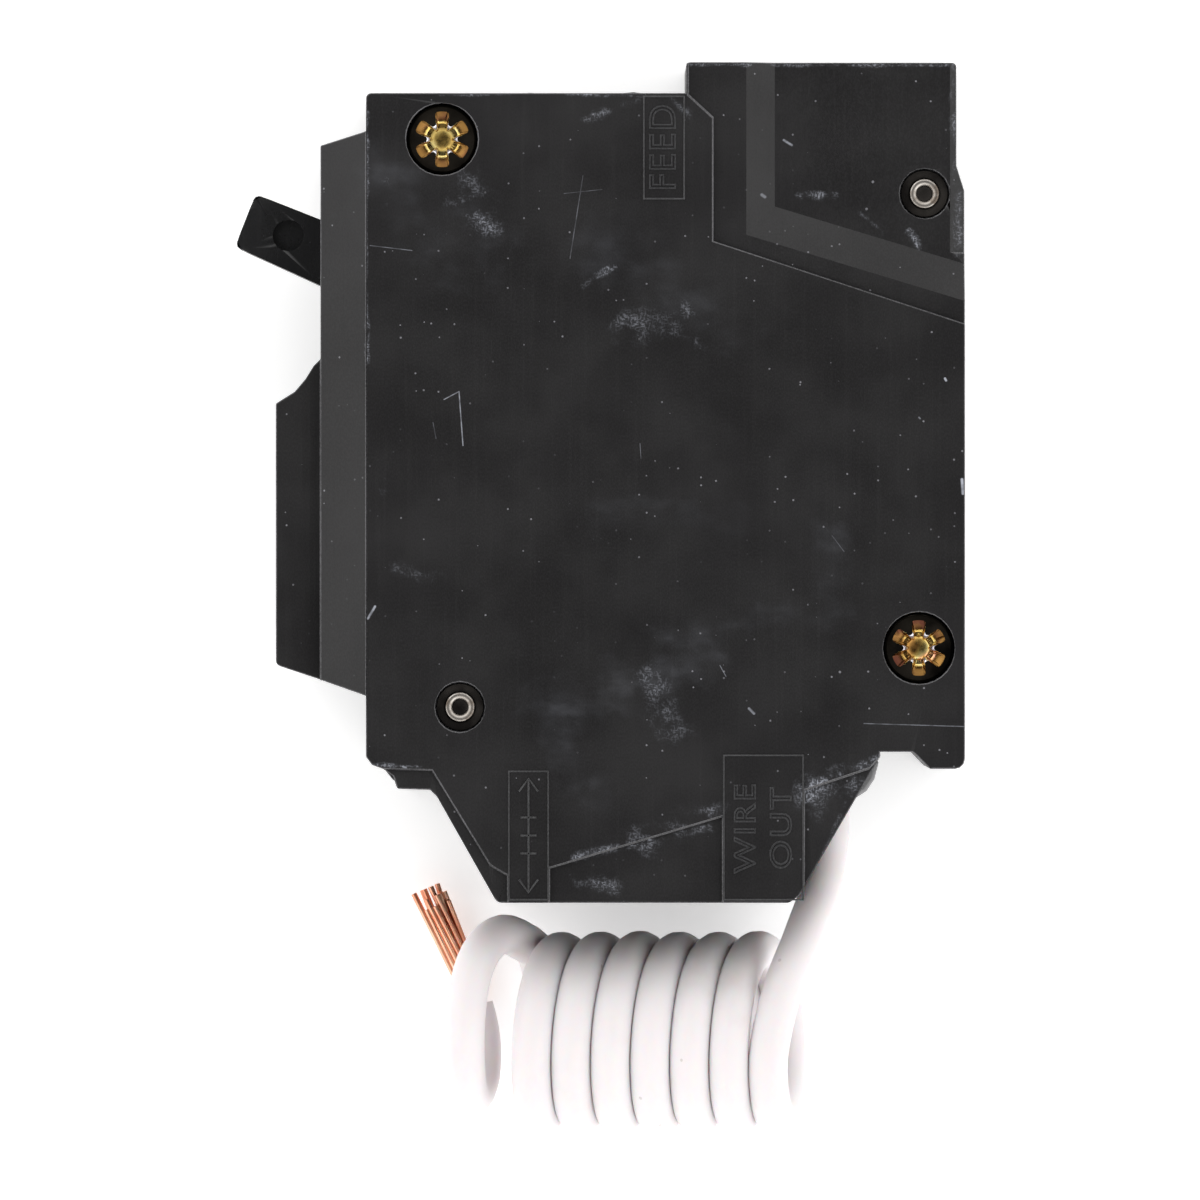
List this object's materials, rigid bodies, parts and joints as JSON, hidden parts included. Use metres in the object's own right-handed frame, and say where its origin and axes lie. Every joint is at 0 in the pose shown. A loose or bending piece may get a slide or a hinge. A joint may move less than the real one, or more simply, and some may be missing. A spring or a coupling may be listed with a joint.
{
  "type": "plug-in circuit breaker",
  "caption": "Single-pole plug-in circuit breaker lying on its side, with toggle handle, test button, screw lugs, bus jaw and a coiled white pigtail with a stripped end",
  "frame": {"origin": "centre of the footprint of the breaker without its pigtail, on the plane of the side that it lies on", "axes": "+Z through the case thickness, away from the side it lies on; +Y from the load end to the line end; +X from the handle face to the bus"},
  "size_m": [0.073, 0.1079, 0.0254],
  "materials": {
    "black_phenolic": "satin black moulding, slightly warm, with handling scuffs",
    "handle_black": "satin black moulding",
    "grey_plastic": "mid-grey moulding",
    "button_white": "off-white moulding, light gloss",
    "white_insulation": "white wire insulation, soft sheen",
    "copper": "bright bare copper",
    "yellow_zinc": "yellow chromate over zinc, iridescent in recesses",
    "plated_steel": "dull zinc-plated steel",
    "spring_steel": "dark drawn spring wire",
    "silver_contact": "silver alloy contact face",
    "fibre_sheet": "vulcanised fibre sheet",
    "green_laminate": "glass-epoxy board with solder mask",
    "magnet_wire": "enamelled magnet wire on a bobbin",
    "sensor_resin": "dark epoxy resin",
    "varistor_blue": "blue epoxy coating"
  },
  "bodies": {
    "case": {"case_base": "black_phenolic", "case_cover": "black_phenolic", "case_screw_line": "yellow_zinc", "case_screw_load": "yellow_zinc", "case_rivet_load": "plated_steel", "case_rivet_line": "plated_steel", "pigtail_bushing": "grey_plastic", "stationary_contact": "silver_contact", "arm_pivot_pin": "plated_steel", "trip_pivot_pin": "plated_steel", "armature_pin": "plated_steel", "line_conductor": "copper", "line_jaw": "copper", "jaw_spring": "spring_steel", "arc_plate_1": "plated_steel", "arc_plate_2": "plated_steel", "arc_plate_3": "plated_steel", "arc_plate_4": "plated_steel", "arc_chute_wall_far": "fibre_sheet", "arc_chute_wall_near": "fibre_sheet", "bimetal": "plated_steel", "bimetal_bracket": "copper", "calibration_screw": "yellow_zinc", "magnet_yoke": "plated_steel", "solenoid_coil": "magnet_wire", "solenoid_frame": "plated_steel", "test_contact_leaf": "copper", "circuit_board": "green_laminate", "current_sensor_1": "sensor_resin", "current_sensor_2": "sensor_resin", "capacitor": "sensor_resin", "varistor": "varistor_blue", "load_conductor": "copper", "neutral_conductor": "white_insulation", "load_tongue_1": "copper", "load_tongue_2": "copper", "lug_barrier": "fibre_sheet", "flexible_braid": "copper", "pigtail_inner_lead": "white_insulation", "pigtail_lead": "white_insulation", "pigtail_coil": "white_insulation", "pigtail_tail": "white_insulation", "pigtail_strands": "copper"},
    "handle": {"handle": "handle_black"},
    "drive_link": {"drive_link": "plated_steel"},
    "contact_arm": {"contact_arm": "copper", "moving_contact": "silver_contact", "opening_spring": "spring_steel"},
    "trip_lever": {"trip_lever": "plated_steel", "trip_spring": "spring_steel"},
    "plunger": {"solenoid_plunger": "plated_steel", "plunger_spring": "spring_steel"},
    "armature": {"armature": "plated_steel"},
    "test_button": {"test_button": "button_white", "test_button_spring": "spring_steel"},
    "lug_screw_1": {"lug_screw_1": "yellow_zinc"},
    "lug_screw_2": {"lug_screw_2": "yellow_zinc"},
    "lug_cage_1": {"lug_cage_1": "plated_steel"},
    "lug_cage_2": {"lug_cage_2": "plated_steel"}
  },
  "joints": [
    {"name": "handle_throw", "type": "hinge", "parent": "case", "child": "handle", "pos_m": [-0.0215, 0.0204, 0.0127], "axis": [0, 0, 1], "range_deg": [0, 46]},
    {"name": "drive_link_turn", "type": "hinge", "parent": "handle", "child": "drive_link", "pos_m": [-0.01994, 0.02408, 0.0127], "axis": [0, 0, 1], "range_deg": [-46, 0]},
    {"name": "contact_arm_turn", "type": "hinge", "parent": "case", "child": "contact_arm", "pos_m": [0.004, 0.01624, 0.0102], "axis": [0, 0, 1], "range_deg": [0, 23]},
    {"name": "trip_lever_turn", "type": "hinge", "parent": "case", "child": "trip_lever", "pos_m": [-0.006, 0.00704, 0.0127], "axis": [0, 0, 1], "range_deg": [-9, 0]},
    {"name": "plunger_stroke", "type": "slide", "parent": "case", "child": "plunger", "axis": [-1, 0, 0], "range_m": [0, 0.0024], "stiffness_N_per_m": 100},
    {"name": "armature_turn", "type": "hinge", "parent": "case", "child": "armature", "pos_m": [0.0239, 0.00414, 0.0127], "axis": [0, 0, 1], "range_deg": [0, 3.2], "stiffness_Nm_per_rad": 0.02},
    {"name": "test_button_press", "type": "slide", "parent": "case", "child": "test_button", "axis": [1, 0, 0], "range_m": [0, 0.0012], "stiffness_N_per_m": 600},
    {"name": "lug_screw_1_turn", "type": "hinge", "parent": "case", "child": "lug_screw_1", "pos_m": [-0.006, -0.036, 0.0199], "axis": [1, 0, 0], "range_deg": [0, 1080]},
    {"name": "lug_cage_1_slide", "type": "slide", "parent": "case", "child": "lug_cage_1", "axis": [-1, 0, 0], "range_m": [0, 0.003]},
    {"name": "lug_screw_2_turn", "type": "hinge", "parent": "case", "child": "lug_screw_2", "pos_m": [-0.006, -0.036, 0.0055], "axis": [1, 0, 0], "range_deg": [0, 1080]},
    {"name": "lug_cage_2_slide", "type": "slide", "parent": "case", "child": "lug_cage_2", "axis": [-1, 0, 0], "range_m": [0, 0.003]}
  ],
  "couplings": [
    {"joint": "drive_link_turn", "follows": "handle_throw", "ratio": -1},
    {"joint": "contact_arm_turn", "follows": "handle_throw", "ratio": 0.5},
    {"joint": "trip_lever_turn", "follows": "plunger_stroke", "rad_per_m": -65.4},
    {"joint": "lug_screw_1_turn", "follows": "lug_cage_1_slide", "rad_per_m": 6283},
    {"joint": "lug_screw_2_turn", "follows": "lug_cage_2_slide", "rad_per_m": 6283}
  ]
}
